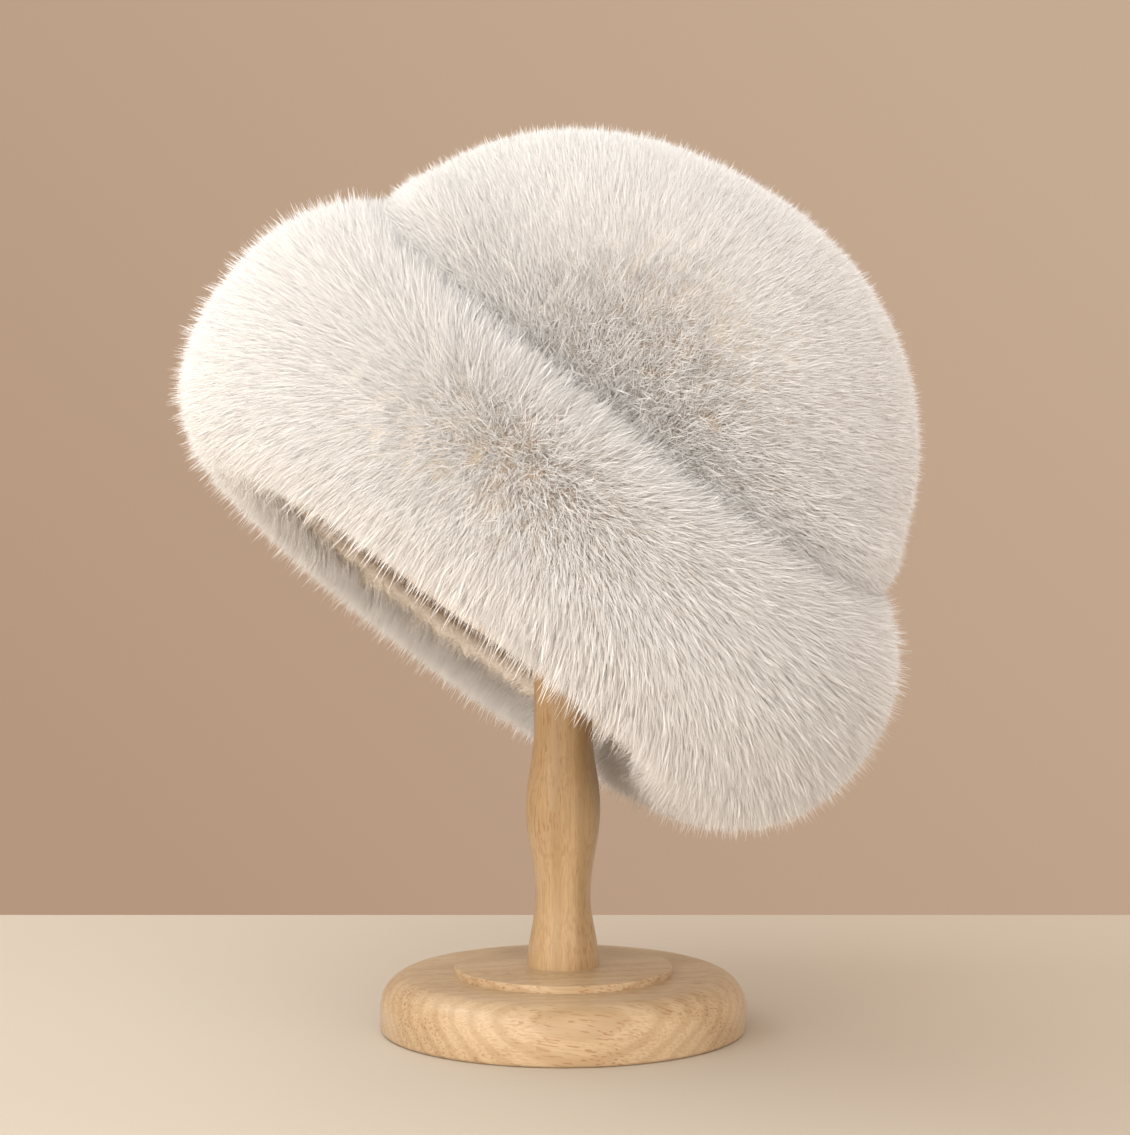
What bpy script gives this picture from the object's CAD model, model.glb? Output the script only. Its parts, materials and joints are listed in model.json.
# %% [markdown]
# # A white fur hat on its wooden stand
#
# The object is a bucket-shaped hat of dense white mink-like fur. Its crown is a smooth dome, and its cuff is a
# fat roll, turned up all round. It leans on a small turned stand of light wood.
# Every cell below takes one piece or one finish: what it is on the real thing, how it could be made in
# Blender, and why this way was chosen. The scripts for the solids have already settled the sizes, so this
# lesson starts by loading them as a frame and never moves them.

# %% The frame
import json
import math
import random

import bmesh
import bpy
import numpy as np
from mathutils import Matrix, Vector

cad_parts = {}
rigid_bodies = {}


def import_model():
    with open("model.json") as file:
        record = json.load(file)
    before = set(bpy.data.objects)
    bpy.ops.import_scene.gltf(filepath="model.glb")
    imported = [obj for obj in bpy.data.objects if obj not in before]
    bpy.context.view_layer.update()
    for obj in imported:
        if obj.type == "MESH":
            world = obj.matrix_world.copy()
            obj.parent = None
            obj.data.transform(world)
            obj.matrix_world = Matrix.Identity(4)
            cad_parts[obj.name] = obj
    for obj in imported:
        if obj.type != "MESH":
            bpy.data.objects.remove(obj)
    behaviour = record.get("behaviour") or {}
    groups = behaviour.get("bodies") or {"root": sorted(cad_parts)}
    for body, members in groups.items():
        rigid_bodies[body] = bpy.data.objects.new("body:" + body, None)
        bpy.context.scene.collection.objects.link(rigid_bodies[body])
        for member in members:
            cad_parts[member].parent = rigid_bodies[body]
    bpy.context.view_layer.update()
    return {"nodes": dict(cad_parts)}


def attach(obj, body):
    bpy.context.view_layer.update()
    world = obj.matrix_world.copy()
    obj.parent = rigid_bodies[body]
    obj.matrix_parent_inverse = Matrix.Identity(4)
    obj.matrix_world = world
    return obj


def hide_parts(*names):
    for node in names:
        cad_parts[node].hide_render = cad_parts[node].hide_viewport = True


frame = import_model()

nodes = frame["nodes"]
print("nodes:", sorted(nodes))


def select_none():
    """An operator acts on all that is selected, so every step starts from nothing."""
    if bpy.context.object and bpy.context.object.mode != "OBJECT":
        bpy.ops.object.mode_set(mode="OBJECT")
    bpy.ops.object.select_all(action="DESELECT")


def pick(piece):
    """Makes this piece the only selected and active one."""
    select_none()
    piece.select_set(True)
    bpy.context.view_layer.objects.active = piece


def triangles(piece):
    """How many triangles the piece costs."""
    return sum(len(face.vertices) - 2 for face in piece.data.polygons)


# %% [markdown]
# ## The camera
#
# A product photograph like this one is taken with a short telephoto lens from about arm's length. The height
# and the tilt were worked out from the ellipses that the round base shows, and the distance from the width of
# the base. Blender's lens is given in millimetres on a 36 mm wide sensor.

# %% Camera
CAMERA_DISTANCE = 0.983
CAMERA_HEIGHT = 0.2108
CAMERA_SIDE_STEP = 0.0007
CAMERA_TILT_DOWN = math.radians(2.301)
CAMERA_LENS_MM = 84.4

camera_data = bpy.data.cameras.new("photo_camera")
camera_data.lens = CAMERA_LENS_MM
camera_data.sensor_width = 36.0
camera_data.clip_start = 0.05
camera = bpy.data.objects.new("photo_camera", camera_data)
camera.location = (CAMERA_SIDE_STEP, -CAMERA_DISTANCE, CAMERA_HEIGHT)
camera.rotation_euler = (math.radians(90) - CAMERA_TILT_DOWN, 0, 0)
bpy.context.collection.objects.link(camera)
bpy.context.scene.camera = camera
print("camera at", tuple(round(v, 3) for v in camera.location))

# %% [markdown]
# ## The table, the backdrop and the light
#
# The hat stands on a pale table in front of a warm plain wall. A real wall behind the table would hide the hat
# from the views taken behind it, so the wall is the world's own colour, and only the table top is a mesh. Its
# far edge lies where the photograph shows the line between table and wall. One large soft light comes from
# the upper left, and a broad one from the front evens it out. Small warm ones near the table lift the
# underside of the cuff and the stem, and weaker ones keep the top, the right side and the back from going
# flat. Most of them don't shine: they are left out of reflections, so the varnish shows few highlights.

# %% Table and world
TABLE_HALF_WIDTH = 0.62
TABLE_NEAR = -0.62
TABLE_FAR = 0.247
TABLE_THICKNESS = 0.035


def plain_material(name, colour, roughness):
    """A Principled material to build on, and its node tree and shader."""
    material = bpy.data.materials.new(name)
    material.use_nodes = True
    shader = material.node_tree.nodes["Principled BSDF"]
    shader.inputs["Base Color"].default_value = (*colour, 1)
    shader.inputs["Roughness"].default_value = roughness
    return material, material.node_tree, shader


select_none()
bpy.ops.mesh.primitive_cube_add(size=1, location=(0, (TABLE_NEAR + TABLE_FAR) / 2, -TABLE_THICKNESS / 2))
table = bpy.context.object
table.name = "table_top"
table.scale = (2 * TABLE_HALF_WIDTH, TABLE_FAR - TABLE_NEAR, TABLE_THICKNESS)
bpy.ops.object.transform_apply(location=True, rotation=True, scale=True)
bevel = table.modifiers.new("worn edge", "BEVEL")
bevel.width = 0.002
bevel.segments = 3
bpy.ops.object.modifier_apply(modifier=bevel.name)
table_material, _, _ = plain_material("pale_table", (0.545, 0.485, 0.405), 0.62)
table.data.materials.append(table_material)

WALL_DIM = (0.462, 0.310, 0.210)
WALL_BRIGHT = (0.565, 0.407, 0.292)
WALL_SPAN = 0.30

world = bpy.data.worlds.new("warm_wall")
world.use_nodes = True
wall_nodes, wall_links = world.node_tree.nodes, world.node_tree.links
direction = wall_nodes.new("ShaderNodeTexCoord")
towards = wall_nodes.new("ShaderNodeVectorMath")
towards.operation = "DOT_PRODUCT"
towards.inputs[1].default_value = (1, 0, 1)
share = wall_nodes.new("ShaderNodeMapRange")
share.inputs["From Min"].default_value = -WALL_SPAN
share.inputs["From Max"].default_value = WALL_SPAN
wall_colour = wall_nodes.new("ShaderNodeMix")
wall_colour.data_type = "RGBA"
wall_colour.inputs["A"].default_value = (*WALL_DIM, 1)
wall_colour.inputs["B"].default_value = (*WALL_BRIGHT, 1)
wall_links.new(direction.outputs["Generated"], towards.inputs[0])
wall_links.new(towards.outputs["Value"], share.inputs["Value"])
wall_links.new(share.outputs["Result"], wall_colour.inputs["Factor"])
wall_links.new(wall_colour.outputs["Result"], wall_nodes["Background"].inputs["Color"])
bpy.context.scene.world = world
bpy.context.scene.view_settings.view_transform = "Standard"


def soft_light(name, place, aim, size, power, colour, shines=True):
    """A square area light that looks at a point. One that doesn't shine leaves no highlight on varnish."""
    data = bpy.data.lights.new(name, "AREA")
    data.shape = "SQUARE"
    data.size = size
    data.energy = power
    data.color = colour
    lamp = bpy.data.objects.new(name, data)
    lamp.location = place
    lamp.rotation_euler = (Vector(aim) - Vector(place)).to_track_quat("-Z", "Y").to_euler()
    lamp.visible_camera = False
    lamp.visible_glossy = shines
    bpy.context.collection.objects.link(lamp)
    return lamp


HAT_MIDDLE = (0.0, 0.0, 0.21)
soft_light("key", (-0.85, -0.95, 0.95), HAT_MIDDLE, 1.5, 6.4, (0.86, 0.96, 1.0))
soft_light("front", (0.26, -1.32, 0.92), HAT_MIDDLE, 1.3, 11.4, (0.99, 0.985, 0.97), shines=False)
soft_light("low left", (-0.42, -0.92, 0.07), (-0.02, 0.04, 0.14), 0.5, 3.8, (1.0, 0.92, 0.84), shines=False)
soft_light("high left", (-0.62, 0.10, 0.80), (0.0, 0.0, 0.08), 0.30, 0.9, (1.0, 0.98, 0.96))
soft_light("under left", (-0.50, -0.64, 0.07), (0.03, 0.03, 0.13), 0.22, 2.5, (1.0, 0.87, 0.75), shines=False)
soft_light("right", (0.95, -1.00, 0.24), HAT_MIDDLE, 0.7, 4.7, (1.0, 0.965, 0.94), shines=False)
soft_light("top", (-0.55, -0.35, 1.20), (0.0, -0.10, 0.1), 1.3, 7.0, (0.80, 0.94, 1.0), shines=False)
soft_light("back", (-0.60, 1.00, 0.95), (0.0, 0.0, 0.12), 1.0, 9.0, (0.92, 0.97, 1.0), shines=False)
soft_light("back right", (0.95, 0.95, 0.38), HAT_MIDDLE, 1.0, 3.8, (1.0, 0.95, 0.89), shines=False)
print("table and lights are in")

# %% [markdown]
# ## The hat's own frame
#
# The hat was modelled upright and then tipped on its stand: 38 degrees to the right and 8 degrees back. Sizes
# are easier to read in the hat's own frame, with its axis up, so every form of the hat is worked out there and
# carried to its place by one matrix. The numbers are those of the solids.

# %% Hat frame and sizes
HAT_PLACE = Matrix.Translation((0.0068, 0, 0.2126))
HAT_LEAN = Matrix.Rotation(math.radians(38), 4, "Y")
HAT_TIP_BACK = Matrix.Rotation(math.radians(-8), 4, "X")
HAT = HAT_PLACE @ HAT_LEAN @ HAT_TIP_BACK

CROWN_RADIUS = 0.1150
CROWN_RISE = 0.1000
CROWN_FULLNESS = 2.15
CUFF_RADIUS = 0.1512
CUFF_TOP = 0.0340
CUFF_SIDE_DIP = 0.0245
CUFF_TOP_FULLNESS = 2.00
CUFF_FOOT_FULLNESS = 2.35
RIM_LEVEL = -0.0888
RIM_SLANT = 0.0082
RIM_HIGH_SIDE = math.radians(-59)
FUR_PILE = 0.0170
WALL_RADIUS = CROWN_RADIUS - FUR_PILE
DOME_LEVEL = CUFF_TOP - FUR_PILE + 0.0030
LINING_RADIUS = WALL_RADIUS - 0.0041
CUFF_SWELLS = ((1, 0.0, 0.035), (2, math.radians(80), 0.015), (3, math.radians(20), 0.012))


def power(value, fullness):
    """A sine or cosine raised as a superellipse needs, with its sign kept."""
    return np.sign(value) * np.abs(value) ** (2 / fullness)


def cuff_top(azimuth):
    return CUFF_TOP - CUFF_SIDE_DIP * np.sin(azimuth) ** 2


def rim_level(azimuth):
    return RIM_LEVEL + RIM_SLANT * np.cos(azimuth - RIM_HIGH_SIDE)


def cuff_reach(azimuth):
    swell = sum(share * np.cos(waves * (azimuth - fullest)) for waves, fullest, share in CUFF_SWELLS)
    return (CUFF_RADIUS - WALL_RADIUS) * (1 + swell)


def cuff_section(azimuth, turn, depth):
    """(radius, level) round the cuff at this depth under the fur's tips."""
    top, foot = cuff_top(azimuth), rim_level(azimuth)
    fullness = np.where(turn > 0, CUFF_TOP_FULLNESS, CUFF_FOOT_FULLNESS)
    radius = WALL_RADIUS + (cuff_reach(azimuth) - depth) * power(np.cos(turn), fullness)
    level = (top + foot) / 2 + ((top - foot) / 2 - depth) * power(np.sin(turn), fullness)
    return radius, level


def in_place(azimuth, radius, level):
    """Points of the hat, given round its axis, as rows of x, y and z in the finished place."""
    upright = np.stack([radius * np.cos(azimuth), radius * np.sin(azimuth), level], -1).reshape(-1, 3)
    turn, move = np.array(HAT.to_3x3()), np.array(HAT.translation)
    return upright @ turn.T + move


def set_points(piece, points):
    piece.data.vertices.foreach_set("co", points.astype(np.float32).ravel())
    piece.data.update()


def get_points(piece):
    points = np.empty(len(piece.data.vertices) * 3, np.float32)
    piece.data.vertices.foreach_get("co", points)
    return points.reshape(-1, 3).astype(float)


def lengths(vectors):
    return np.linalg.norm(vectors, axis=1, keepdims=True)


def unit(vectors):
    return vectors / np.maximum(lengths(vectors), 1e-9)


def smooth_share(distance, reach):
    """0 at no distance, 1 from this reach on, with soft ends."""
    share = np.clip(distance / reach, 0, 1)
    return share * share * (3 - 2 * share)


def normals_of(piece):
    normals = np.empty(len(piece.data.vertices) * 3, np.float32)
    piece.data.vertices.foreach_get("normal", normals)
    return normals.reshape(-1, 3).astype(float)


def store(piece, name, kind, values):
    attribute = piece.data.attributes.new(name, kind, "POINT")
    field = "vector" if kind == "FLOAT_VECTOR" else "value"
    attribute.data.foreach_set(field, values.astype(np.float32).ravel())


# %% [markdown]
# ## The cuff's underfur
#
# Under the long hairs of real fur lies a dense woolly underfur, which hides the skin. Nobody sees it by
# itself, but it is what shows dark and warm between the hairs where they point at the viewer. The cuff is a
# ring, so it starts as a torus primitive with many segments. Each vertex is then moved from the torus's round
# section to the cuff's own: out over the roll, down the wall, under the rim and a little way up the lining.

# %% Cuff underfur
CUFF_UNDERFUR_DEPTH = 0.0092
DEEPER_LEFT = 0.0036
RING_SEGMENTS = 168
TURN_IN = 0.0150
TURN_IN_THICKNESS = 0.0040
GAP = 0.0005


def blend(start, end, count):
    """count shares of the way from start to end, without the end itself."""
    return [(start + (end - start) * i / count) for i in range(count)]


def cuff_loop(azimuth, depth):
    """The closed section of the underfur, in the order of a torus's section: out, up, in and down."""
    deeper = depth + DEEPER_LEFT * (0.5 - 0.5 * np.cos(azimuth))
    foot = rim_level(azimuth)
    edge = foot + FUR_PILE
    wall = WALL_RADIUS + GAP
    lining = LINING_RADIUS - GAP
    loop = []
    for turn in blend(0, math.pi / 2, 14):
        loop.append(cuff_section(azimuth, turn, deeper + (depth - deeper) * turn / (math.pi / 2)))
    crest = cuff_section(azimuth, math.pi / 2, depth)
    loop += list(zip(blend(wall, wall, 8), blend(crest[1], edge, 8)))
    loop += list(zip(blend(wall, lining, 2), blend(edge, edge, 2)))
    loop += list(zip(blend(lining, lining, 3), blend(edge, edge + TURN_IN, 3)))
    inner = lining - TURN_IN_THICKNESS
    low = foot + deeper
    rise = (edge + TURN_IN - low) / 2
    for swing in blend(math.pi, 1.5 * math.pi, 9):
        reach = (WALL_RADIUS - inner) * np.cos(swing)
        loop.append((WALL_RADIUS + reach, low + rise * (1 + np.sin(swing))))
    loop += [cuff_section(azimuth, turn, deeper) for turn in blend(-math.pi / 2, 0, 20)]
    return loop


SECTION_POINTS = len(cuff_loop(0.0, CUFF_UNDERFUR_DEPTH))
ring_azimuths = np.arange(RING_SEGMENTS) * math.tau / RING_SEGMENTS


def cuff_points(depth):
    """All the points of the cuff's closed surface at this depth, ring segment by ring segment."""
    loop = [np.broadcast_to(np.array(point).reshape(2, -1), (2, RING_SEGMENTS)) for point in
            [(np.broadcast_to(r, ring_azimuths.shape), np.broadcast_to(z, ring_azimuths.shape))
             for r, z in cuff_loop(ring_azimuths, depth)]]
    loop = np.array(loop)
    return in_place(ring_azimuths[:, None] + np.zeros((1, SECTION_POINTS)), loop[:, 0].T, loop[:, 1].T)


select_none()
bpy.ops.mesh.primitive_torus_add(
    major_segments=RING_SEGMENTS, minor_segments=SECTION_POINTS, major_radius=CUFF_RADIUS, minor_radius=0.03
)
cuff_underfur = bpy.context.object
cuff_underfur.name = "cuff_underfur"
set_points(cuff_underfur, cuff_points(CUFF_UNDERFUR_DEPTH))
store(cuff_underfur, "skin", "FLOAT_VECTOR", normals_of(cuff_underfur))
bpy.ops.object.shade_smooth()
print("cuff underfur:", triangles(cuff_underfur), "triangles")

# %% [markdown]
# ## The crown's underfur
#
# The crown is a dome a little fuller than a ball. A sphere primitive gives even faces, a bisect takes off its
# lower half, and each vertex then moves to the dome's superellipse. The open foot is drawn down to the cuff,
# and Solidify gives the layer its thickness. Blender's sphere numbers its faces differently on each run. The
# hairs are drawn face by face and would stand elsewhere each time, so the cut mesh is numbered anew.

# %% Crown underfur
CROWN_UNDERFUR_DEPTH = 0.0075
CROWN_UNDERFUR_WALL = 0.0080
CROWN_FOOT_BURIED = 0.0200
CROWN_SIDE_SHIFT = 0.0024
VALLEY_FILL = 0.0150
VALLEY_HEIGHT = 0.0170
DENT_AZIMUTH = math.radians(-92)
DENT_LEVEL = 0.022
DENT_RADIUS = 0.036
DENT_DEPTH = 0.0060


def number_by_place(thing):
    """Number vertices by their place and faces by their corners, so that each run numbers them alike."""
    points = get_points(thing)
    order = np.lexsort(np.round(points, 5).T)
    new_number = np.argsort(order)
    faces = []
    for face in thing.data.polygons:
        corners = [int(new_number[corner]) for corner in face.vertices]
        first = corners.index(min(corners))
        faces.append(corners[first:] + corners[:first])
    thing.data.clear_geometry()
    thing.data.from_pydata(points[order].tolist(), [], sorted(faces))


select_none()
bpy.ops.mesh.primitive_uv_sphere_add(segments=128, ring_count=64, radius=1)
crown_underfur = bpy.context.object
crown_underfur.name = "crown_underfur"
bpy.ops.object.mode_set(mode="EDIT")
bpy.ops.mesh.select_all(action="SELECT")
bpy.ops.mesh.bisect(plane_co=(0, 0, -0.001), plane_no=(0, 0, 1), clear_inner=True)
bpy.ops.object.mode_set(mode="OBJECT")
number_by_place(crown_underfur)


def dome_section(climb, depth):
    radius = (CROWN_RADIUS - depth) * power(np.cos(climb), CROWN_FULLNESS)
    return radius, DOME_LEVEL + (CROWN_RISE - depth) * power(np.sin(climb), CROWN_FULLNESS)


def crown_upright(ball, depth):
    """The ball's points moved to the dome, its lowest ring down to the cuff, in the hat's own frame."""
    climb = np.arcsin(np.clip(ball[:, 2], 0, 1))
    azimuth = np.arctan2(ball[:, 1], ball[:, 0])
    radius, level = dome_section(climb, depth - CROWN_SIDE_SHIFT * np.cos(azimuth))
    foot = cuff_top(azimuth) - CROWN_FOOT_BURIED
    level = np.where(ball[:, 2] < -0.0005, foot, level)
    above_cuff = np.maximum(level - cuff_top(azimuth), 0)
    fill = VALLEY_FILL * np.clip(1.8 * np.abs(np.sin(azimuth)) - 0.15, 0, 1)
    radius = radius + fill * np.exp(-above_cuff / VALLEY_HEIGHT) * np.cos(climb)
    dent = np.array([
        CROWN_RADIUS * math.cos(DENT_AZIMUTH),
        CROWN_RADIUS * math.sin(DENT_AZIMUTH),
        DENT_LEVEL,
    ])
    spot = np.stack([radius * np.cos(azimuth), radius * np.sin(azimuth), level], -1)
    radius = radius - DENT_DEPTH * np.exp(-np.sum((spot - dent) ** 2, 1) / DENT_RADIUS**2)
    return azimuth, radius, level


set_points(crown_underfur, in_place(*crown_upright(get_points(crown_underfur), CROWN_UNDERFUR_DEPTH)))
store(crown_underfur, "skin", "FLOAT_VECTOR", normals_of(crown_underfur))
wall = crown_underfur.modifiers.new("layer", "SOLIDIFY")
wall.thickness = CROWN_UNDERFUR_WALL
wall.offset = -1
bpy.ops.object.modifier_apply(modifier=wall.name)
bpy.ops.object.shade_smooth()
print("crown underfur:", triangles(crown_underfur), "triangles")

# %% [markdown]
# ## The way the fur grows
#
# Fur doesn't stand straight out of the skin, and it doesn't lie flat either. On this hat it stands out
# nearly straight where the cuff and the crown face the viewer, which makes a whorl there, and it leans more
# the further it is from that whorl. A vector for each vertex says which way the hairs grow there, and a
# number says how dense they are. Others say how far they stray, how long they grow and how far they part. All
# are stored on the mesh as attributes, so that the scattering below can read them between the vertices.

# %% Growth field
WHORL_AZIMUTH = math.radians(-97)
WHORL_TURN = math.radians(7)
WHORL_REACH = 0.064
WHORL_LEAN = math.radians(6)
CUFF_LEAN = math.radians(26)
CROWN_LEAN = math.radians(28)
GUARD_LEAN = math.radians(12)
STRAY_AT_WHORL = 0.55
STRAY_BEYOND = 0.20
OPEN_DOWN = (0.60, -0.80)
OPEN_STRETCH = 0.42
RIM_REACH = 0.15
NEAR_RIM_REACH = 0.60
FOOT_REACH = 0.55
FOOT_HEIGHT = 0.012
FOOT_LOOSE = 0.6
CUFF_FALL = 0.28
CROWN_FALL = 0.10
# places in the cuff's closed section, counted as cuff_loop lists its points
FUR_STOPS, FUR_STARTS = 15, 30
TURNED_IN_FROM, TURNED_IN_TO = 22, 33
TURNED_IN_OPENNESS = 0.35
CREST_PLACE, CREST_SPREAD = 13, 3.0
RIM_PLACE, RIM_SPREAD = 38, 5.0


def stored_vectors(piece, name):
    values = np.empty(len(piece.data.vertices) * 3, np.float32)
    piece.data.attributes[name].data.foreach_get("vector", values)
    return values.reshape(-1, 3).astype(float)


def openness(points, whorl):
    """1 where the hairs part at the whorl, 0 where they lie closed. It fades slowest downhill."""
    away = points - np.array(whorl)
    downhill = away[:, 0] * OPEN_DOWN[0] + away[:, 2] * OPEN_DOWN[1]
    sideways = np.sqrt(np.maximum(np.sum(away**2, 1) - downhill**2, 0))
    downhill = np.where(downhill > 0, downhill * OPEN_STRETCH, downhill)
    return 1 - smooth_share(np.hypot(downhill, sideways), WHORL_REACH)


def grow_from(piece, whorl, lean, fall, density, reach, least_open=0.0, loose=0.0):
    """Stores hairs that stand up at the whorl and lean away from it further off."""
    points, normals = get_points(piece), stored_vectors(piece, "skin")
    away = points - np.array(whorl)
    distance = lengths(away)
    along = unit(away - normals * np.sum(away * normals, 1, keepdims=True))
    share = smooth_share(distance, WHORL_REACH)
    loose = np.broadcast_to(loose, len(points))[:, None]
    angle = (WHORL_LEAN + (lean - WHORL_LEAN) * share) * (1 - 0.8 * loose)
    growth = normals * np.cos(angle) + along * np.sin(angle) + np.array([0, 0, -fall])
    store(piece, "growth", "FLOAT_VECTOR", unit(growth))
    guard = normals * math.cos(GUARD_LEAN) + along * math.sin(GUARD_LEAN) + np.array([0, 0, -fall / 2])
    store(piece, "guard_growth", "FLOAT_VECTOR", unit(guard))
    store(piece, "stray", "FLOAT", STRAY_AT_WHORL + (STRAY_BEYOND - STRAY_AT_WHORL) * share + 0.25 * loose)
    store(piece, "density", "FLOAT", density)
    store(piece, "reach", "FLOAT", reach)
    store(piece, "openness", "FLOAT", np.maximum(openness(points, whorl), least_open))


whorl_at = np.array([WHORL_AZIMUTH])
cuff_whorl = in_place(whorl_at, *cuff_section(whorl_at, np.array([WHORL_TURN]), 0.0))[0]
section_index = np.tile(np.arange(SECTION_POINTS), RING_SEGMENTS)
furry = (section_index < FUR_STOPS) | (section_index >= FUR_STARTS)
turned_in = (section_index >= TURNED_IN_FROM) & (section_index < TURNED_IN_TO)
crest_share = np.exp(-(((section_index - CREST_PLACE) / CREST_SPREAD) ** 2)) * (section_index < 20)
near_side = np.clip(-np.sin(np.repeat(ring_azimuths, SECTION_POINTS)), 0, 1) ** 2
rim_share = np.exp(-(((section_index - RIM_PLACE) / RIM_SPREAD) ** 2))
rim_share = rim_share * (RIM_REACH + NEAR_RIM_REACH * near_side)
grow_from(
    cuff_underfur, cuff_whorl, CUFF_LEAN, CUFF_FALL, density=furry.astype(float), reach=1 + rim_share,
    least_open=TURNED_IN_OPENNESS * turned_in, loose=crest_share,
)

crown_whorl = in_place(np.array([DENT_AZIMUTH]), np.array([CROWN_RADIUS]), np.array([DENT_LEVEL]))[0]
crown_points = get_points(crown_underfur)
outer_count = len(crown_points) // 2
outside = (np.arange(len(crown_points)) < outer_count).astype(float)
upright = (crown_points - np.array(HAT.translation)) @ np.array(HAT.to_3x3())
about = np.arctan2(upright[:, 1], upright[:, 0])
above_cuff = upright[:, 2] - cuff_top(about)
foot_share = np.exp(-np.maximum(above_cuff, 0) / FOOT_HEIGHT) * np.sin(about) ** 2
grow_from(
    crown_underfur, crown_whorl, CROWN_LEAN, CROWN_FALL, density=outside, reach=1 + FOOT_REACH * foot_share,
    loose=FOOT_LOOSE * foot_share,
)
print("whorl at", cuff_whorl.round(3), "dent at", crown_whorl.round(3))

# %% [markdown]
# ## One lock of hair
#
# Single hairs cling together in small locks whose tips draw in. So the lock is what gets modelled, once: a
# few flat blades, each stretched to a hair's length, leaned a little and spun its own way. At a third of a
# millimetre across, a flat blade can't be told from a round hair. A short hair costs one triangle, so that
# the pelt can be dense, and the few long guard hairs, which show one by one at the edge, get two steps and a
# curve.

# %% Locks


def add_blade(width, reach, steps):
    """A blade on the origin along +Z: one triangle, or a longer one that keeps its width at first."""
    if steps == 1:
        bpy.ops.mesh.primitive_circle_add(vertices=3, radius=1, fill_type="NGON")
        blade = bpy.context.object
        set_points(blade, get_points(blade) * (1 / 1.732, 1 / 1.5, 1) + (0, 1 / 3, 0))
    else:
        bpy.ops.mesh.primitive_grid_add(x_subdivisions=1, y_subdivisions=steps, size=1)
        blade = bpy.context.object
        points = get_points(blade) + (0, 0.5, 0)
        points[:, 2] = 0.06 * points[:, 1] ** 2
        points[:, 0] *= 1 - 0.90 * points[:, 1] ** 3
        set_points(blade, points)
    stretch = Matrix.Diagonal((width, reach, reach, 1))
    blade.matrix_world = Matrix.Rotation(math.radians(90), 4, "X") @ stretch
    return blade


def make_lock(name, hairs, length, width, spread, gather, seed, steps=1):
    """A lock of hairs on the origin that grows along +Z."""
    draw = random.Random(seed)
    made = []
    for number in range(hairs):
        angle = math.tau * (number + draw.random()) / hairs
        out = spread * math.sqrt(draw.uniform(0.05, 1))
        root = Vector((out * math.cos(angle), out * math.sin(angle), 0))
        reach = length * draw.uniform(0.70, 1.0)
        tip = Vector((root.x * gather, root.y * gather, reach))
        tip += Vector((draw.uniform(-1, 1), draw.uniform(-1, 1), 0)) * reach * 0.07
        select_none()
        hair = add_blade(width, (tip - root).length, steps)
        lean = (tip - root).to_track_quat("Z", "Y").to_matrix().to_4x4()
        spin = Matrix.Rotation(draw.uniform(0, math.tau), 4, "Z")
        hair.matrix_world = Matrix.Translation(root) @ lean @ spin @ hair.matrix_world
        made.append(hair)
    select_none()
    for hair in made:
        hair.select_set(True)
    bpy.context.view_layer.objects.active = made[0]
    bpy.ops.object.join()
    bpy.ops.object.transform_apply(location=True, rotation=True, scale=True)
    lock = bpy.context.object
    lock.name = name
    store(lock, "up_hair", "FLOAT", np.clip(get_points(lock)[:, 2] / length, 0, 1))
    return lock


cuff_lock = make_lock("cuff_lock", 7, 0.0082, 0.00032, 0.0024, 0.90, 5)
cuff_guard = make_lock("cuff_guard", 1, 0.0152, 0.00030, 0.0001, 1.00, 8, 2)
crown_lock = make_lock("crown_lock", 7, 0.0060, 0.00032, 0.0024, 0.85, 6)
crown_guard = make_lock("crown_guard", 1, 0.0102, 0.00028, 0.0001, 1.00, 9, 2)
print("one lock:", triangles(cuff_lock), "triangles,", get_points(cuff_lock)[:, 2].max() * 1000, "mm")

# %% [markdown]
# ## Scattering the locks
#
# A pelt holds far too many hairs to place one by one. Geometry Nodes scatters points over the underfur, turns
# a copy of the lock at each point along the stored growth, gives it its own twist, size and tone, and
# realizes the copies into one plain mesh. The modifier is applied, so a real mesh is what stays.

# %% Scattering helper
LIKE_SKIN_CLOSED = 0.975
LIKE_SKIN_OPEN = 0.32


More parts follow.
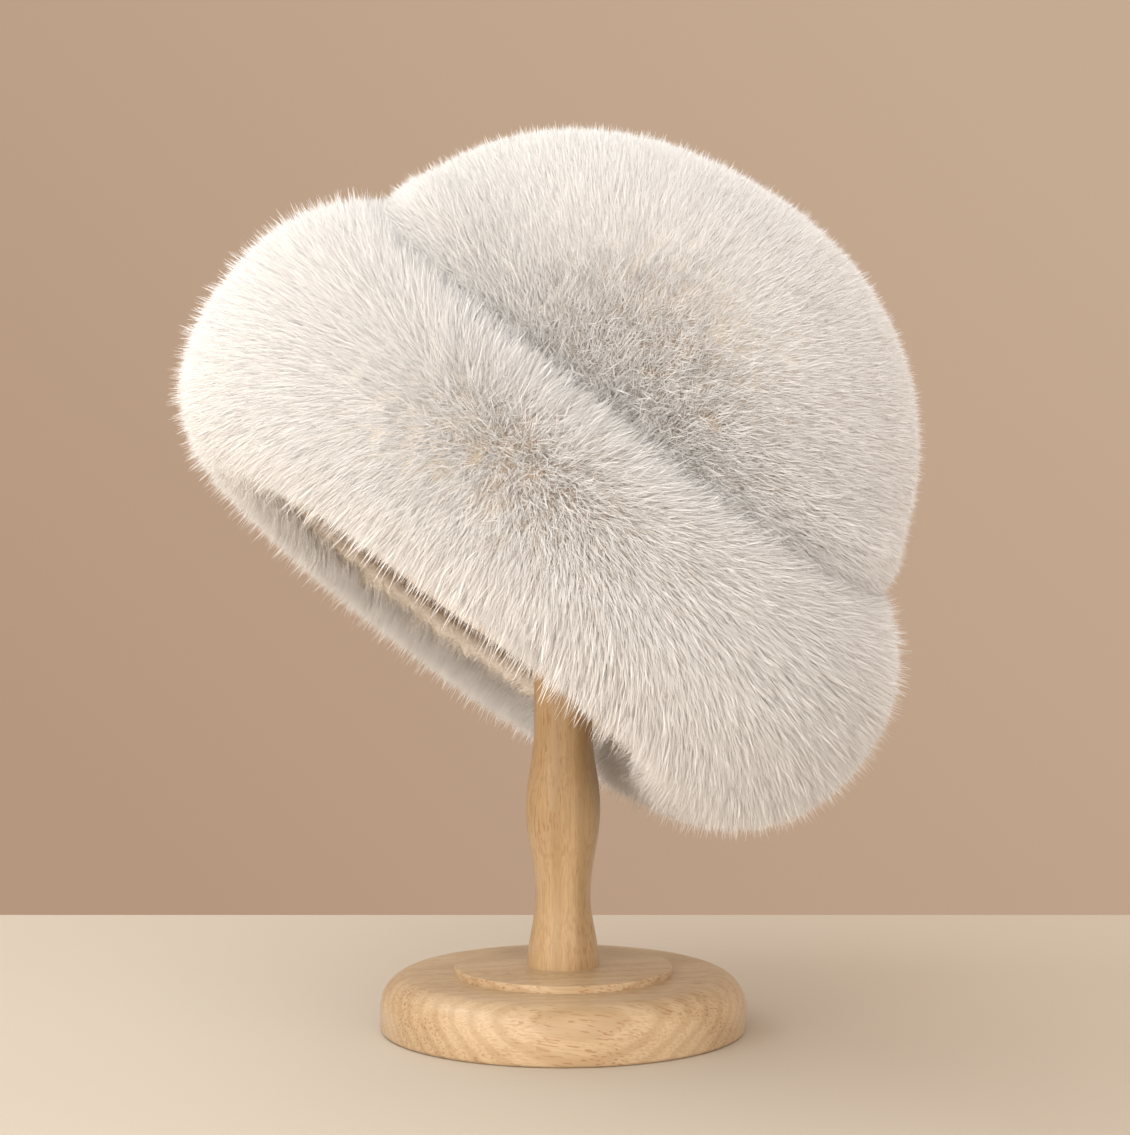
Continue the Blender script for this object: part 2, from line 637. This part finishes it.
def scatter(name, host, lock, direction, per_square_metre, seed, size_low, size_high):
    """A new piece: copies of the lock over the host where its density is 1, as a real mesh."""
    tree = bpy.data.node_groups.new("scatter " + name, "GeometryNodeTree")
    tree.interface.new_socket("Geometry", in_out="INPUT", socket_type="NodeSocketGeometry")
    tree.interface.new_socket("Geometry", in_out="OUTPUT", socket_type="NodeSocketGeometry")

    def node(kind, **settings):
        made = tree.nodes.new(kind)
        for key, value in settings.items():
            setattr(made, key, value)
        return made

    def link(source, output, target, socket):
        tree.links.new(source.outputs[output], target.inputs[socket])

    start, end = node("NodeGroupInput"), node("NodeGroupOutput")
    density = node("GeometryNodeInputNamedAttribute", data_type="FLOAT")
    density.inputs["Name"].default_value = "density"
    thick = node("ShaderNodeMath", operation="MULTIPLY")
    thick.inputs[1].default_value = per_square_metre
    link(density, "Attribute", thick, 0)
    spread = node("GeometryNodeDistributePointsOnFaces", distribute_method="RANDOM")
    spread.inputs["Seed"].default_value = seed
    link(start, "Geometry", spread, "Mesh")
    link(thick, 0, spread, "Density")

    growth = node("GeometryNodeInputNamedAttribute", data_type="FLOAT_VECTOR")
    growth.inputs["Name"].default_value = direction
    wander = node("FunctionNodeRandomValue", data_type="FLOAT_VECTOR")
    wander.inputs["Min"].default_value = (-1, -1, -1)
    wander.inputs["Max"].default_value = (1, 1, 1)
    wander.inputs["Seed"].default_value = seed + 1
    stray = node("GeometryNodeInputNamedAttribute", data_type="FLOAT")
    stray.inputs["Name"].default_value = "stray"
    strayed = node("ShaderNodeVectorMath", operation="MULTIPLY_ADD")
    link(wander, "Value", strayed, 0)
    link(stray, "Attribute", strayed, 1)
    link(growth, "Attribute", strayed, 2)
    align = node("FunctionNodeAlignRotationToVector", axis="Z")
    link(strayed, "Vector", align, "Vector")
    twist = node("FunctionNodeRandomValue", data_type="FLOAT")
    twist.inputs[2].default_value = 0.0
    twist.inputs[3].default_value = math.tau
    twist.inputs["Seed"].default_value = seed + 2
    about = node("ShaderNodeCombineXYZ")
    link(twist, 1, about, "Z")
    turned = node("FunctionNodeRotateRotation", rotation_space="LOCAL")
    link(align, "Rotation", turned, "Rotation")
    link(about, "Vector", turned, "Rotate By")

    tone = node("FunctionNodeRandomValue", data_type="FLOAT")
    tone.inputs["Seed"].default_value = seed + 3
    toned = node("GeometryNodeStoreNamedAttribute", data_type="FLOAT", domain="POINT")
    toned.inputs["Name"].default_value = "tone"
    link(spread, "Points", toned, "Geometry")
    link(tone, 1, toned, "Value")

    size = node("FunctionNodeRandomValue", data_type="FLOAT")
    size.inputs[2].default_value = size_low
    size.inputs[3].default_value = size_high
    size.inputs["Seed"].default_value = seed + 4
    reach = node("GeometryNodeInputNamedAttribute", data_type="FLOAT")
    reach.inputs["Name"].default_value = "reach"
    sized = node("ShaderNodeMath", operation="MULTIPLY")
    link(size, 1, sized, 0)
    link(reach, "Attribute", sized, 1)
    model = node("GeometryNodeObjectInfo")
    model.inputs["Object"].default_value = lock
    copies = node("GeometryNodeInstanceOnPoints")
    link(toned, "Geometry", copies, "Points")
    link(model, "Geometry", copies, "Instance")
    link(turned, "Rotation", copies, "Rotation")
    link(sized, 0, copies, "Scale")
    real = node("GeometryNodeRealizeInstances")
    link(copies, "Instances", real, "Geometry")

    skin = node("GeometryNodeInputNamedAttribute", data_type="FLOAT_VECTOR")
    skin.inputs["Name"].default_value = "skin"
    own = node("GeometryNodeInputNormal")
    facing = node("ShaderNodeVectorMath", operation="DOT_PRODUCT")
    link(skin, "Attribute", facing, 0)
    link(own, "Normal", facing, 1)
    inwards = node("FunctionNodeCompare", data_type="FLOAT", operation="LESS_THAN")
    link(facing, "Value", inwards, "A")
    turned_out = node("GeometryNodeFlipFaces")
    link(real, "Geometry", turned_out, "Mesh")
    link(inwards, "Result", turned_out, "Selection")
    softened = node("ShaderNodeMix", data_type="VECTOR")
    opened = node("GeometryNodeInputNamedAttribute", data_type="FLOAT")
    opened.inputs["Name"].default_value = "openness"
    likeness = node("ShaderNodeMath", operation="MULTIPLY_ADD")
    link(opened, "Attribute", likeness, 0)
    likeness.inputs[1].default_value = LIKE_SKIN_OPEN - LIKE_SKIN_CLOSED
    likeness.inputs[2].default_value = LIKE_SKIN_CLOSED
    link(likeness, 0, softened, "Factor")
    link(own, "Normal", softened, "A")
    link(skin, "Attribute", softened, "B")
    shaded = node("GeometryNodeSetMeshNormal", mode="FREE", domain="POINT")
    link(turned_out, "Mesh", shaded, "Mesh")
    link(softened, "Result", shaded, "Custom Normal")
    link(shaded, "Mesh", end, "Geometry")

    fur = bpy.data.objects.new(name, host.data.copy())
    fur.data.materials.clear()
    bpy.context.collection.objects.link(fur)
    pick(fur)
    modifier = fur.modifiers.new("scatter", "NODES")
    modifier.node_group = tree
    bpy.ops.object.modifier_apply(modifier=modifier.name)
    bpy.data.node_groups.remove(tree)
    for spent in ("growth", "guard_growth", "density", "stray", "skin", "reach"):
        fur.data.attributes.remove(fur.data.attributes[spent])
    print(name + ":", triangles(fur), "triangles")
    return fur


# %% Fur
# locks and guard hairs on each square metre of underfur
CUFF_LOCK_DENSITY = 185000
CROWN_LOCK_DENSITY = 235000
GUARD_DENSITY = 100000

furs = []
for layer in range(3):
    name = "cuff_hair_" + str(layer + 1)
    seed = 10 * layer + 1
    furs.append(scatter(name, cuff_underfur, cuff_lock, "growth", CUFF_LOCK_DENSITY, seed, 0.75, 1.10))
for layer in range(2):
    name = "crown_hair_" + str(layer + 1)
    seed = 10 * layer + 101
    furs.append(scatter(name, crown_underfur, crown_lock, "growth", CROWN_LOCK_DENSITY, seed, 0.80, 1.10))
for name, host, guard, seed in (
    ("cuff_guard_hair", cuff_underfur, cuff_guard, 201),
    ("crown_guard_hair", crown_underfur, crown_guard, 211),
):
    furs.append(scatter(name, host, guard, "guard_growth", GUARD_DENSITY, seed, 0.78, 1.06))
for helper in (cuff_lock, cuff_guard, crown_lock, crown_guard):
    bpy.data.objects.remove(helper)

# %% [markdown]
# ## Helpers for procedural finishes
#
# Every finish below is a small graph of shader nodes. These helpers keep the graphs readable: each adds one
# node, sets it and hands back the socket to go on from.

# %% Node helpers
def new_group(name, inputs, outputs):
    """An empty shader node group with named sockets, its input and output nodes and a node maker."""
    tree = bpy.data.node_groups.new(name, "ShaderNodeTree")
    for label, kind, value in inputs:
        socket = tree.interface.new_socket(label, in_out="INPUT", socket_type=kind)
        if value is not None:
            socket.default_value = value
    for label, kind in outputs:
        tree.interface.new_socket(label, in_out="OUTPUT", socket_type=kind)
    return tree, tree.nodes.new("NodeGroupInput"), tree.nodes.new("NodeGroupOutput")


def add_node(tree, kind, values=(), **settings):
    """A node with its settings and the values of its named inputs."""
    made = tree.nodes.new(kind)
    for key, value in settings.items():
        setattr(made, key, value)
    for key, value in dict(values).items():
        made.inputs[key].default_value = value
    return made


def stretched(tree, source, scale):
    """The coordinates scaled along each axis."""
    mapping = add_node(tree, "ShaderNodeMapping", {"Scale": scale})
    tree.links.new(source, mapping.inputs["Vector"])
    return mapping.outputs["Vector"]


def window(tree, source, low, high, to_low=0.0, to_high=1.0):
    """A value mapped smoothly from one range to another."""
    mapped = add_node(tree, "ShaderNodeMapRange", interpolation_type="SMOOTHSTEP")
    for key, value in (("From Min", low), ("From Max", high), ("To Min", to_low), ("To Max", to_high)):
        mapped.inputs[key].default_value = value
    tree.links.new(source, mapped.inputs["Value"])
    return mapped.outputs["Result"]


def mix_colours(tree, factor, first, second, blend_type="MIX"):
    """Two colours mixed by a factor. Each is a socket, or a plain colour."""
    mix = tree.nodes.new("ShaderNodeMix")
    mix.data_type = "RGBA"
    mix.blend_type = blend_type
    for key, value in (("Factor", factor), ("A", first), ("B", second)):
        if isinstance(value, bpy.types.NodeSocket):
            tree.links.new(value, mix.inputs[key])
        else:
            mix.inputs[key].default_value = value
    return mix.outputs["Result"]


def math_of(tree, operation, first, second):
    """Two numbers combined. Each is a socket, or a plain number."""
    made = tree.nodes.new("ShaderNodeMath")
    made.operation = operation
    for number, value in enumerate((first, second)):
        if isinstance(value, bpy.types.NodeSocket):
            tree.links.new(value, made.inputs[number])
        else:
            made.inputs[number].default_value = value
    return made.outputs["Value"]


# %% [markdown]
# ## The fur's finish
#
# White fur is white at the tips and creamy at the root. Where the hairs stand open, as at the whorl, the
# eye sees down to the roots and the wool, so both take a warm brown there. A hair also lets light through,
# which a translucent share stands for.

# %% Fur finish
def read_number(tree, name):
    """A number stored on the mesh."""
    reader = tree.nodes.new("ShaderNodeAttribute")
    reader.attribute_name = name
    return reader.outputs["Fac"]


def fur_material(name, closed, opened):
    """White fur from its (root, tip) colours, where it lies closed and where it stands open."""
    material, tree, shader = plain_material(name, closed[1], 0.7)
    spot = read_number(tree, "openness")
    root, tip = (mix_colours(tree, spot, (*calm, 1), (*bare, 1)) for calm, bare in zip(closed, opened))
    along_hair = mix_colours(tree, window(tree, read_number(tree, "up_hair"), 0.0, 0.8), root, tip)
    vary = tree.nodes.new("ShaderNodeHueSaturation")
    tree.links.new(along_hair, vary.inputs["Color"])
    shade = add_node(tree, "ShaderNodeMapRange", {"To Min": 0.94, "To Max": 1.02})
    tree.links.new(read_number(tree, "tone"), shade.inputs["Value"])
    tree.links.new(shade.outputs["Result"], vary.inputs["Value"])
    tree.links.new(vary.outputs["Color"], shader.inputs["Base Color"])
    shader.inputs["Specular IOR Level"].default_value = 0.2
    through = tree.nodes.new("ShaderNodeBsdfTranslucent")
    tree.links.new(vary.outputs["Color"], through.inputs["Color"])
    both = add_node(tree, "ShaderNodeMixShader", {"Fac": 0.5})
    tree.links.new(shader.outputs["BSDF"], both.inputs[1])
    tree.links.new(through.outputs["BSDF"], both.inputs[2])
    tree.links.new(both.outputs["Shader"], tree.nodes["Material Output"].inputs["Surface"])
    return material


def woolly_material(name, closed, opened):
    """The short wool below the hairs: light where they lie closed over it, dark and warm where they part."""
    material, tree, shader = plain_material(name, closed, 0.95)
    place = add_node(tree, "ShaderNodeTexCoord")
    wool = add_node(tree, "ShaderNodeTexNoise", {"Scale": 900.0, "Detail": 3.0})
    tree.links.new(place.outputs["Object"], wool.inputs["Vector"])
    base = mix_colours(tree, read_number(tree, "openness"), (*closed, 1), (*opened, 1))
    darker = mix_colours(tree, 1.0, base, (0.84, 0.82, 0.79, 1), "MULTIPLY")
    mixed = mix_colours(tree, window(tree, wool.outputs["Fac"], 0.35, 0.65), base, darker)
    tree.links.new(mixed, shader.inputs["Base Color"])
    bump = add_node(tree, "ShaderNodeBump", {"Strength": 0.4, "Distance": 0.0004})
    tree.links.new(wool.outputs["Fac"], bump.inputs["Height"])
    tree.links.new(bump.outputs["Normal"], shader.inputs["Normal"])
    return material


white_fur = fur_material(
    "white_fur", ((0.93, 0.89, 0.84), (0.925, 0.95, 0.96)), ((0.56, 0.44, 0.34), (0.95, 0.925, 0.885))
)
underfur_material = woolly_material("underfur", (0.89, 0.85, 0.79), (0.40, 0.32, 0.24))
for fur in furs:
    fur.data.materials.append(white_fur)
    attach(fur, "root")
for fur in (cuff_underfur, crown_underfur):
    fur.data.materials.append(underfur_material)
    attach(fur, "root")
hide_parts("cuff_fur", "cuff_roll")
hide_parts("crown_fur")

# %% [markdown]
# ## The stand
#
# A stand like this is turned on a lathe from a light close-grained wood. Its base is a thick disc with a broad
# round shoulder and a low step in the middle. A cylinder with many sides takes both: its top edge is bevelled,
# its top face inset and extruded. The stem is drawn up ring by ring, as a turner reads it off a template, with
# each ring widened or narrowed.

# %% Base
BASE_RADIUS = 0.0680
BASE_THICKNESS = 0.0207
BASE_SHOULDER_ROUND = 0.0120
BASE_FOOT_ROUND = 0.0016
STEP_RADIUS = 0.0405
STEP_HEIGHT = 0.0028
STEP_ROUND = 0.0008
STEP_TOP = BASE_THICKNESS + STEP_HEIGHT
BASE_SIDES = 160


def choose_edges(piece, test):
    """Edge mode with only the edges whose two ends pass the test."""
    bpy.ops.mesh.select_mode(type="EDGE")
    bpy.ops.mesh.select_all(action="DESELECT")
    mesh = bmesh.from_edit_mesh(piece.data)
    for edge in mesh.edges:
        edge.select = all(test(end.co) for end in edge.verts)
    bmesh.update_edit_mesh(piece.data)


def choose_faces(piece, test):
    """Face mode with only the faces whose middle and normal pass the test."""
    bpy.ops.mesh.select_mode(type="FACE")
    bpy.ops.mesh.select_all(action="DESELECT")
    mesh = bmesh.from_edit_mesh(piece.data)
    for face in mesh.faces:
        face.select = test(face.calc_center_median(), face.normal)
    bmesh.update_edit_mesh(piece.data)


select_none()
bpy.ops.mesh.primitive_cylinder_add(
    vertices=BASE_SIDES, radius=BASE_RADIUS, depth=BASE_THICKNESS, location=(0, 0, BASE_THICKNESS / 2)
)
turned_base = bpy.context.object
turned_base.name = "turned_base"
bpy.ops.object.transform_apply(location=True, rotation=True, scale=True)
bpy.ops.object.mode_set(mode="EDIT")
choose_edges(turned_base, lambda end: end.z > BASE_THICKNESS - 1e-5)
bpy.ops.mesh.bevel(offset=BASE_SHOULDER_ROUND, segments=12, affect="EDGES")
choose_edges(turned_base, lambda end: end.z < 1e-5)
bpy.ops.mesh.bevel(offset=BASE_FOOT_ROUND, segments=3, affect="EDGES")
choose_faces(turned_base, lambda middle, normal: normal.z > 0.999 and middle.z > BASE_THICKNESS - 1e-5)
bpy.ops.mesh.inset(thickness=BASE_RADIUS - BASE_SHOULDER_ROUND - STEP_RADIUS)
bpy.ops.mesh.extrude_region_move(TRANSFORM_OT_translate={"value": (0, 0, STEP_HEIGHT)})
choose_edges(turned_base, lambda end: end.z > STEP_TOP - 1e-5 and end.to_2d().length > STEP_RADIUS - 1e-4)
bpy.ops.mesh.bevel(offset=STEP_ROUND, segments=3, affect="EDGES")
bpy.ops.object.mode_set(mode="OBJECT")
bpy.ops.object.shade_smooth_by_angle(angle=math.radians(35))
print("base:", triangles(turned_base), "triangles, top at", round(get_points(turned_base)[:, 2].max(), 4))

# %% Stem
STEM_STATIONS = (
    # height above the step, radius
    (0.0000, 0.0134),
    (0.0262, 0.0102),
    (0.0584, 0.0138),
    (0.0880, 0.0108),
)
STEM_TOP = 0.2560
STEM_SIDES = 72
STEM_RINGS = 12


def stem_rings():
    """(height above the table, radius) of each ring, with soft curves between the stations."""
    for (low, foot), (high, head) in zip(STEM_STATIONS, STEM_STATIONS[1:]):
        for step in range(STEM_RINGS):
            share = step / STEM_RINGS
            radius = foot + (head - foot) * (1 - math.cos(math.pi * share)) / 2
            yield STEP_TOP + low + (high - low) * share, radius
    height, radius = STEM_STATIONS[-1]
    yield STEP_TOP + height, radius
    yield STEM_TOP, radius


rings = list(stem_rings())
select_none()
bpy.ops.mesh.primitive_circle_add(
    vertices=STEM_SIDES, radius=rings[0][1], fill_type="NGON", location=(0, 0, rings[0][0])
)
turned_stem = bpy.context.object
turned_stem.name = "turned_stem"
bpy.ops.object.transform_apply(location=True, rotation=True, scale=True)
bpy.ops.object.mode_set(mode="EDIT")
bpy.ops.mesh.select_all(action="SELECT")
bpy.ops.mesh.flip_normals()
for (height, radius), (next_height, next_radius) in zip(rings, rings[1:]):
    bpy.ops.mesh.extrude_region_move(TRANSFORM_OT_translate={"value": (0, 0, next_height - height)})
    wider = next_radius / radius
    bpy.ops.transform.resize(value=(wider, wider, 1), center_override=(0, 0, next_height))
bpy.ops.mesh.select_all(action="SELECT")
bpy.ops.mesh.normals_make_consistent(inside=False)
bpy.ops.object.mode_set(mode="OBJECT")
bpy.ops.object.shade_smooth_by_angle(angle=math.radians(35))
stem_width = 2 * np.hypot(*get_points(turned_stem).T[:2]).max()
print("stem:", triangles(turned_stem), "triangles, widest", round(stem_width * 1000, 1), "mm")

# %% [markdown]
# ## The lining
#
# Inside the hat is a thin smooth cloth, which shows as a beige strip over the far rim. It takes the form of
# the hollow: a dome with a straight wall. It starts from a sphere as the crown did, its edge is extruded down
# step by step, and Solidify makes it one millimetre thick. A few shallow folds run down the wall, and they
# fade out where the fur is turned in over its edge.

# %% Lining
LINING_DEPTH = 0.0198
LINING_OUTSIDE = CROWN_RADIUS - LINING_DEPTH
LINING_RISE = CROWN_RISE - LINING_DEPTH
LINING_THICKNESS = 0.0010
LINING_STEPS = 10
FOLD_DEPTH = 0.0013
# waves round the hat, share of the depth, azimuth of the first crest
LINING_FOLDS = ((7, 0.45, 0.3), (11, 0.30, 1.9), (17, 0.25, 4.1))

select_none()
bpy.ops.mesh.primitive_uv_sphere_add(segments=112, ring_count=40, radius=1)
lining = bpy.context.object
lining.name = "lining_cloth"
bpy.ops.object.mode_set(mode="EDIT")
bpy.ops.mesh.select_all(action="SELECT")
bpy.ops.mesh.bisect(plane_co=(0, 0, -0.001), plane_no=(0, 0, 1), clear_inner=True)
choose_edges(lining, lambda end: end.z < 0)
for step in range(LINING_STEPS):
    bpy.ops.mesh.extrude_region_move(TRANSFORM_OT_translate={"value": (0, 0, -1 / LINING_STEPS)})
bpy.ops.object.mode_set(mode="OBJECT")
number_by_place(lining)

ball = get_points(lining)
azimuth = np.arctan2(ball[:, 1], ball[:, 0])
climb = np.arcsin(np.clip(ball[:, 2], 0, 1))
down = np.clip(-ball[:, 2], 0, 1)
edge = rim_level(azimuth) + FUR_PILE
radius = LINING_OUTSIDE * power(np.cos(climb), CROWN_FULLNESS)
wall_level = DOME_LEVEL + (edge - DOME_LEVEL) * down
dome_level = DOME_LEVEL + LINING_RISE * power(np.sin(climb), CROWN_FULLNESS)
level = np.where(down > 0, wall_level, dome_level)
waves = sum(share * (0.5 - 0.5 * np.cos(count * (azimuth - first))) for count, share, first in LINING_FOLDS)
radius = radius - FOLD_DEPTH * waves * np.sin(np.clip(down / 0.8, 0, 1) * math.pi) ** 0.8
set_points(lining, in_place(azimuth, radius, level))
pick(lining)
wall = lining.modifiers.new("cloth", "SOLIDIFY")
wall.thickness = LINING_THICKNESS
wall.offset = -1
bpy.ops.object.modifier_apply(modifier=wall.name)
bpy.ops.object.shade_smooth_by_angle(angle=math.radians(50))
print("lining:", triangles(lining), "triangles")

# %% [markdown]
# ## Wood
#
# Light turned wood shows its growth rings as soft bands, where a plane or a round shoulder cuts through them,
# and short brown pores that follow the grain. Both are three-dimensional patterns, so the base and the stem
# can share one node group. Each only turns the coordinates, so that the group's Z runs along its own grain.

# %% Wood grain group
wood_group, wood_in, wood_out = new_group(
    "wood_grain",
    (
        ("Along grain", "NodeSocketVector", None),
        ("Light", "NodeSocketColor", (0.66, 0.45, 0.25, 1)),
        ("Dark", "NodeSocketColor", (0.52, 0.32, 0.15, 1)),
        ("Pore", "NodeSocketColor", (0.30, 0.16, 0.07, 1)),
        ("Ring scale", "NodeSocketFloat", 40.0),
    ),
    (("Color", "NodeSocketColor"), ("Roughness", "NodeSocketFloat"), ("Height", "NodeSocketFloat")),
)
along = wood_in.outputs["Along grain"]
rings_wave = add_node(
    wood_group, "ShaderNodeTexWave",
    {"Distortion": 3.2, "Detail": 2.0, "Detail Scale": 0.55, "Detail Roughness": 0.5},
    wave_type="RINGS", rings_direction="Z",
)
wood_group.links.new(stretched(wood_group, along, (1, 1, 0.16)), rings_wave.inputs["Vector"])
wood_group.links.new(wood_in.outputs["Ring scale"], rings_wave.inputs["Scale"])
drift = add_node(wood_group, "ShaderNodeTexNoise", {"Scale": 38.0, "Detail": 3.0})
wood_group.links.new(stretched(wood_group, along, (1, 1, 0.22)), drift.inputs["Vector"])
fibre = add_node(wood_group, "ShaderNodeTexNoise", {"Scale": 1500.0, "Detail": 3.0})
wood_group.links.new(stretched(wood_group, along, (1, 1, 0.03)), fibre.inputs["Vector"])
pores = add_node(wood_group, "ShaderNodeTexNoise", {"Scale": 1300.0, "Detail": 1.0})
wood_group.links.new(stretched(wood_group, along, (1, 1, 0.11)), pores.inputs["Vector"])
pore_zone = window(wood_group, drift.outputs["Fac"], 0.42, 0.62, 0.15, 1.0)
pore_mask = math_of(wood_group, "MULTIPLY", window(wood_group, pores.outputs["Fac"], 0.58, 0.64), pore_zone)
band = math_of(wood_group, "MULTIPLY", window(wood_group, rings_wave.outputs["Fac"], 0.35, 1.0), 0.50)
band = math_of(wood_group, "ADD", band, window(wood_group, drift.outputs["Fac"], 0.35, 0.70, 0.0, 0.55))
grain = mix_colours(wood_group, band, wood_in.outputs["Light"], wood_in.outputs["Dark"])
streaks = window(wood_group, fibre.outputs["Fac"], 0.42, 0.64, 0.0, 0.60)
grain = mix_colours(wood_group, streaks, grain, wood_in.outputs["Dark"])
pits = math_of(wood_group, "MULTIPLY", pore_mask, 0.95)
grain = mix_colours(wood_group, pits, grain, wood_in.outputs["Pore"])
wood_group.links.new(grain, wood_out.inputs["Color"])
satin = window(wood_group, fibre.outputs["Fac"], 0.3, 0.8, 0.34, 0.46)
wood_group.links.new(satin, wood_out.inputs["Roughness"])
relief = math_of(wood_group, "SUBTRACT", fibre.outputs["Fac"], pore_mask)
wood_group.links.new(relief, wood_out.inputs["Height"])


def wood_material(name, grain_turn, grain_move, light, dark, ring_scale):
    """Satin varnished wood. grain_turn carries the grain's direction to Z."""
    material, tree, shader = plain_material(name, light, 0.4)
    place = add_node(tree, "ShaderNodeTexCoord")
    mapping = add_node(tree, "ShaderNodeMapping", {"Rotation": grain_turn, "Location": grain_move})
    tree.links.new(place.outputs["Object"], mapping.inputs["Vector"])
    wood = add_node(tree, "ShaderNodeGroup", node_tree=wood_group)
    wood.inputs["Light"].default_value = (*light, 1)
    wood.inputs["Dark"].default_value = (*dark, 1)
    wood.inputs["Ring scale"].default_value = ring_scale
    tree.links.new(mapping.outputs["Vector"], wood.inputs["Along grain"])
    tree.links.new(wood.outputs["Color"], shader.inputs["Base Color"])
    tree.links.new(wood.outputs["Roughness"], shader.inputs["Roughness"])
    bump = add_node(tree, "ShaderNodeBump", {"Strength": 0.12, "Distance": 0.0002})
    tree.links.new(wood.outputs["Height"], bump.inputs["Height"])
    tree.links.new(bump.outputs["Normal"], shader.inputs["Normal"])
    shader.inputs["Specular IOR Level"].default_value = 0.35
    shader.inputs["Coat Weight"].default_value = 0.6
    shader.inputs["Coat Roughness"].default_value = 0.28
    return material


base_wood = wood_material(
    "base_wood", (0, math.radians(83), math.radians(38)), (0.055, 0.012, 0.03),
    (0.54, 0.405, 0.255), (0.40, 0.275, 0.155), 72.0,
)
stem_wood = wood_material(
    "stem_wood", (0, 0, 0), (0.017, 0.012, 0), (0.48, 0.335, 0.185), (0.34, 0.22, 0.105), 34.0
)
print("wood:", base_wood.name, stem_wood.name)

# %% [markdown]
# ## Lining cloth
#
# A fine plain weave, which at this distance shows only as a soft sheen and a faint grain. The weave is a bump
# from two crossed sets of waves. The skin side of the fur is suede, and nobody sees it on the finished hat.

# %% Cloth and suede
WEAVE_THREADS_PER_METRE = 1800


def woven_material(name, colour, roughness):
    material, tree, shader = plain_material(name, colour, roughness)
    place = add_node(tree, "ShaderNodeTexCoord")
    heights = []
    for direction in ("X", "Z"):
        threads = add_node(
            tree, "ShaderNodeTexWave", {"Scale": WEAVE_THREADS_PER_METRE / 3.18, "Distortion": 0.6},
            wave_type="BANDS", bands_direction=direction,
        )
        tree.links.new(place.outputs["Object"], threads.inputs["Vector"])
        heights.append(threads.outputs["Fac"])
    slub = add_node(tree, "ShaderNodeTexNoise", {"Scale": 60.0, "Detail": 4.0})
    tree.links.new(place.outputs["Object"], slub.inputs["Vector"])
    darker = (*(0.84 * c for c in colour), 1)
    woven = mix_colours(tree, window(tree, slub.outputs["Fac"], 0.3, 0.7), (*colour, 1), darker)
    tree.links.new(woven, shader.inputs["Base Color"])
    bump = add_node(tree, "ShaderNodeBump", {"Strength": 0.25, "Distance": 0.0002})
    tree.links.new(math_of(tree, "MULTIPLY", heights[0], heights[1]), bump.inputs["Height"])
    tree.links.new(bump.outputs["Normal"], shader.inputs["Normal"])
    shader.inputs["Sheen Weight"].default_value = 0.3
    shader.inputs["Sheen Roughness"].default_value = 0.4
    return material


def suede_material(name, colour):
    material, tree, shader = plain_material(name, colour, 0.9)
    place = add_node(tree, "ShaderNodeTexCoord")
    nap = add_node(tree, "ShaderNodeTexNoise", {"Scale": 450.0, "Detail": 4.0})
    tree.links.new(place.outputs["Object"], nap.inputs["Vector"])
    darker = (*(0.75 * c for c in colour), 1)
    tree.links.new(mix_colours(tree, nap.outputs["Fac"], (*colour, 1), darker), shader.inputs["Base Color"])
    bump = add_node(tree, "ShaderNodeBump", {"Strength": 0.3, "Distance": 0.0003})
    tree.links.new(nap.outputs["Fac"], bump.inputs["Height"])
    tree.links.new(bump.outputs["Normal"], shader.inputs["Normal"])
    return material


lining_material = woven_material("lining_cloth", (0.86, 0.72, 0.57), 0.5)
suede = suede_material("suede", (0.72, 0.60, 0.46))

# %% [markdown]
# ## Each piece gets its finish, its slot and the solid that it stands for

for piece, finish, slot, replaced in (
    (turned_base, base_wood, "wood", "stand_base"),
    (turned_stem, stem_wood, "wood", "stand_stem"),
    (lining, lining_material, "lining_cloth", "lining"),
):
    piece.data.materials.append(finish)
    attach(piece, "root")
    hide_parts(replaced)
for name, finish in (("stand_head", stem_wood), ("crown_pelt", suede)):
    nodes[name].data.materials.clear()
    nodes[name].data.materials.append(finish)
total = sum(triangles(piece) for piece in bpy.data.objects if piece.type == "MESH")
print("all pieces:", total, "triangles")
